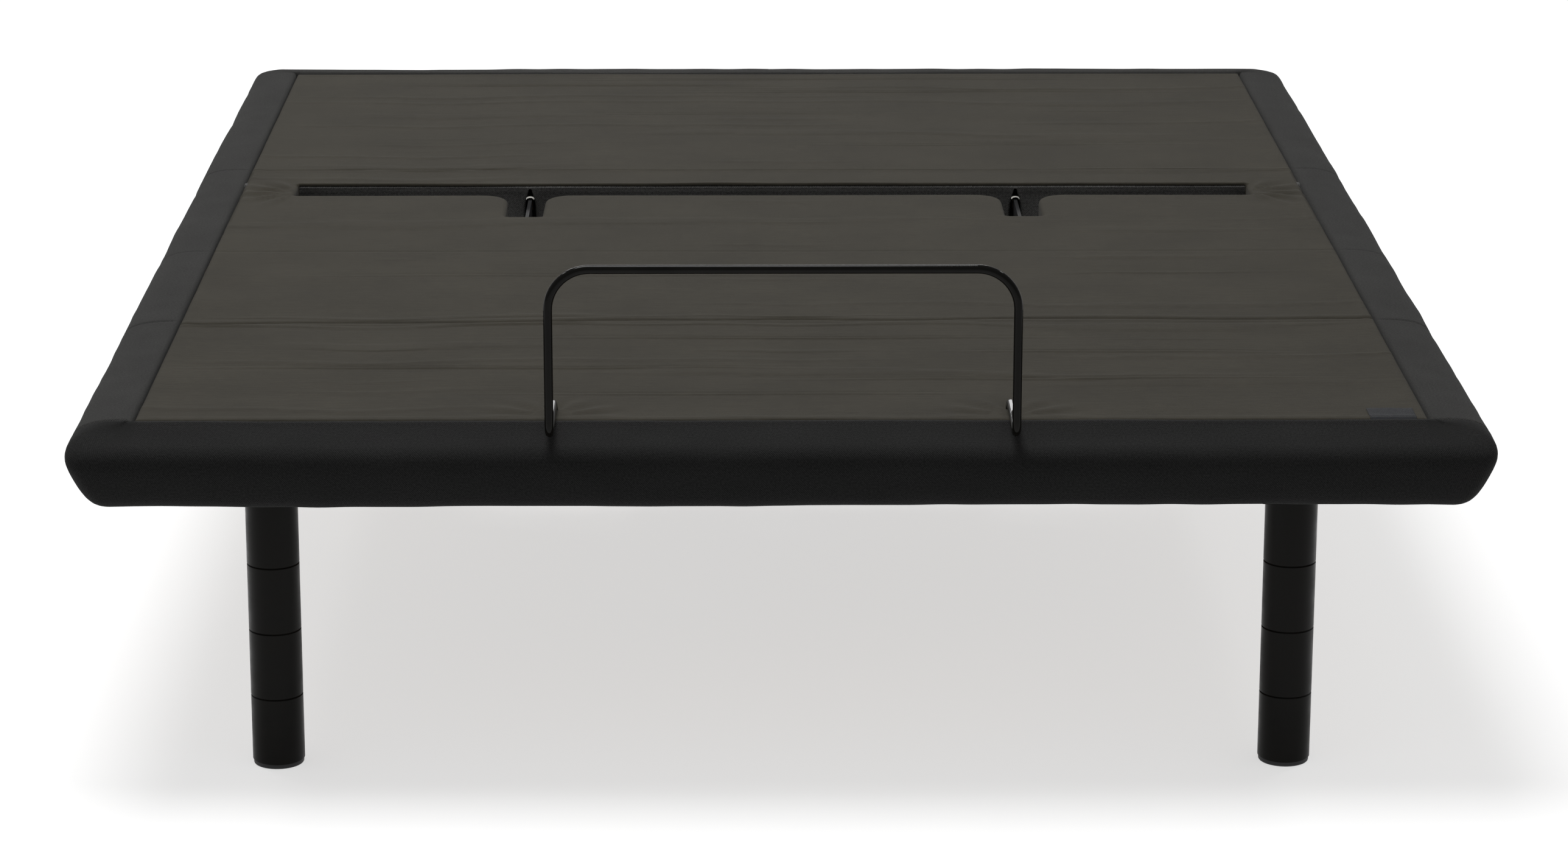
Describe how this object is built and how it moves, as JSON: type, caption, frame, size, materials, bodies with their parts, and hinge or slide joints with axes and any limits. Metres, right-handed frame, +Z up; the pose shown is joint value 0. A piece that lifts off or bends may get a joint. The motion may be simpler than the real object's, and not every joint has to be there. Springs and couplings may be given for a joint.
{
  "type": "adjustable bed base",
  "caption": "Upholstered adjustable bed base with lifting head and knee sections, stacked round legs and a bent rod mattress retainer at the foot.",
  "frame": {"origin": "floor level under the middle of the bed", "axes": "+X to the right seen from the foot end, +Y towards the head, +Z up"},
  "size_m": [1.524, 2.032, 0.5808],
  "materials": {
    "chassis_paint": "satin black powder coat",
    "zinc": "zinc plated",
    "leg_plastic": "satin black moulded",
    "black_plastic": "fine moulded texture",
    "black_rubber": "matte",
    "motor_steel": "satin black",
    "tube_aluminium": "anodised satin",
    "rod_steel": "ground and plated",
    "nylon": "natural nylon",
    "plywood": "raw plywood",
    "deck_cloth": "fine slub weave, taupe charcoal",
    "border_cloth": "dark twill",
    "gloss_black_paint": "gloss black",
    "woven_tag": "blank woven tag"
  },
  "bodies": {
    "root": {"rail_left": "chassis_paint", "rail_right": "chassis_paint", "chassis_cross_tubes": "chassis_paint", "rail_end_caps": "black_plastic", "leg_mounts": "chassis_paint", "legs_front": "leg_plastic", "legs_rear": "leg_plastic", "leg_glides": "black_plastic", "headboard_brackets": "chassis_paint", "rest_bumpers": "black_rubber", "board_seat": "plywood", "pad_seat": "deck_cloth", "skirt_seat_sides": "border_cloth", "seat_hinge_brackets": "chassis_paint", "thigh_hinge_pins": "zinc", "link_pivot_pins": "zinc", "head_pivot_brackets": "chassis_paint", "head_pivot_bolts": "zinc", "motor_gearboxes": "black_plastic", "motor_cans": "motor_steel", "motor_tubes": "tube_aluminium", "motor_hangers": "chassis_paint", "control_box_base": "black_plastic", "control_box_cover": "black_plastic", "control_box_screws": "zinc", "power_inlet": "black_plastic", "head_motor_lead": "black_rubber", "foot_motor_lead": "black_rubber", "lead_clips": "black_plastic"},
    "head_section": {"board_head": "plywood", "pad_head": "deck_cloth", "skirt_head_sides": "border_cloth", "skirt_head_end": "border_cloth", "skirt_head_face": "border_cloth", "head_frame": "chassis_paint", "head_arms": "chassis_paint", "torsion_tube": "chassis_paint", "head_crank": "chassis_paint", "head_roller": "nylon"},
    "thigh_section": {"board_thigh": "plywood", "pad_thigh": "deck_cloth", "skirt_thigh_sides": "border_cloth", "thigh_frame": "chassis_paint", "thigh_hinge_ears": "chassis_paint", "thigh_crank": "chassis_paint", "thigh_roller": "nylon"},
    "calf_section": {"board_calf": "plywood", "pad_calf": "deck_cloth", "skirt_calf_sides": "border_cloth", "skirt_foot_end": "border_cloth", "calf_frame": "chassis_paint", "calf_hinge_ears": "chassis_paint", "knee_hinge_pins": "zinc", "bar_sockets": "black_plastic", "deck_tag": "woven_tag"},
    "link_left": {"calf_link_left": "chassis_paint"},
    "link_right": {"calf_link_right": "chassis_paint"},
    "head_push_rod": {"head_rod": "rod_steel"},
    "foot_push_rod": {"foot_rod": "rod_steel"},
    "bar": {"retainer_bar": "gloss_black_paint"}
  },
  "joints": [
    {"name": "head_tilt", "type": "hinge", "parent": "root", "child": "head_section", "pos_m": [0, 0.07, 0.338], "axis": [1, 0, 0], "range_deg": [0, 60]},
    {"name": "thigh_tilt", "type": "hinge", "parent": "root", "child": "thigh_section", "pos_m": [0, -0.173, 0.362], "axis": [-1, 0, 0], "range_deg": [0, 40]},
    {"name": "knee_fold", "type": "hinge", "parent": "thigh_section", "child": "calf_section", "pos_m": [0, -0.52, 0.362], "axis": [1, 0, 0], "range_deg": [0, 40]},
    {"name": "link_left_swing", "type": "hinge", "parent": "root", "child": "link_left", "pos_m": [-0.529, -0.486, 0.322], "axis": [-1, 0, 0], "range_deg": [0, 40]},
    {"name": "link_right_swing", "type": "hinge", "parent": "root", "child": "link_right", "pos_m": [0.529, -0.486, 0.322], "axis": [-1, 0, 0], "range_deg": [0, 40]},
    {"name": "head_push", "type": "slide", "parent": "root", "child": "head_push_rod", "axis": [0, 1, 0], "range_m": [0, 0.1105]},
    {"name": "foot_push", "type": "slide", "parent": "root", "child": "foot_push_rod", "axis": [0, -1, 0], "range_m": [0, 0.0757]},
    {"name": "bar_lift", "type": "slide", "parent": "calf_section", "child": "bar", "axis": [0, 0, 1], "range_m": [0, 0.05]}
  ],
  "couplings": [
    {"joint": "knee_fold", "follows": "thigh_tilt", "ratio": 1},
    {"joint": "link_left_swing", "follows": "thigh_tilt", "ratio": 1},
    {"joint": "link_right_swing", "follows": "thigh_tilt", "ratio": 1},
    {"joint": "head_push", "follows": "head_tilt", "m_per_rad": 0.10504},
    {"joint": "foot_push", "follows": "thigh_tilt", "m_per_rad": 0.10778}
  ]
}
